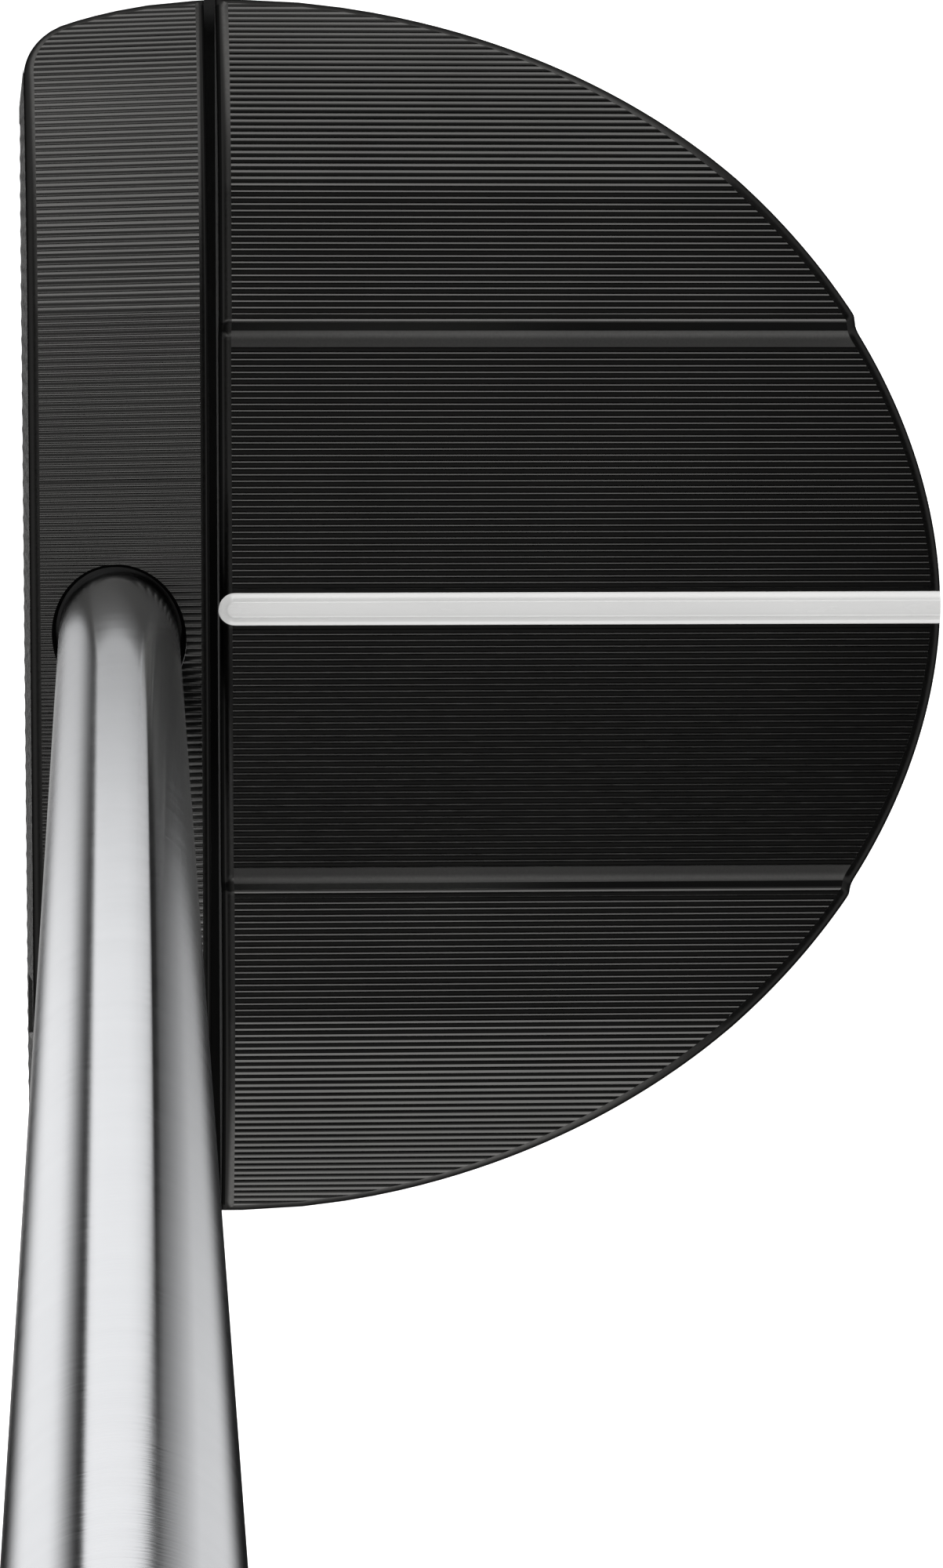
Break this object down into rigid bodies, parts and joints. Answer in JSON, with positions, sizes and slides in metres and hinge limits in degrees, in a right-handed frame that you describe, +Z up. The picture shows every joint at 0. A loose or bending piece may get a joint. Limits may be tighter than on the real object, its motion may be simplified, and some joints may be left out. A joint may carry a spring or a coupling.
{
  "type": "mallet putter",
  "caption": "Right-handed mallet putter: D-shaped head with ribbed top and white sight line, centre-mounted steel shaft and flat-fronted grip.",
  "frame": {"origin": "on the flat of the sole, under the sight line, in the plane that holds the shaft axis; the head stands on z = 0", "axes": "+Z up, -Y out of the face towards the hole, +X towards the heel and the player, -X towards the toe; the shaft leans 20 degrees from vertical towards +X"},
  "size_m": [0.359, 0.08, 0.8394],
  "materials": {
    "black_anodised": "milled and ribbed, black anodised, satin",
    "white_enamel": "smooth filled enamel",
    "sole_steel": "bead-blasted stainless",
    "screw_steel": "dark stainless screws",
    "weight_steel": "turned stainless",
    "epoxy": "cured epoxy, hidden",
    "cork": "pressed cork, hidden",
    "shaft_chrome": "brushed satin chrome",
    "grip_tape": "double-sided tape, hidden",
    "grip_foam": "closed-cell foam core",
    "grip_skin": "soft textured polyurethane",
    "grip_cap": "fine moulded texture"
  },
  "bodies": {
    "root": {"head_body": "black_anodised", "sight_line_enamel": "white_enamel", "sole_plate": "sole_steel", "sole_plate_screws": "screw_steel", "toe_weight": "weight_steel", "heel_weight": "weight_steel", "shaft_adhesive": "epoxy", "shaft_tip_plug": "cork", "shaft": "shaft_chrome", "grip_tape": "grip_tape", "grip_core": "grip_foam", "grip_skin": "grip_skin", "grip_cap": "grip_cap"}
  },
  "joints": []
}
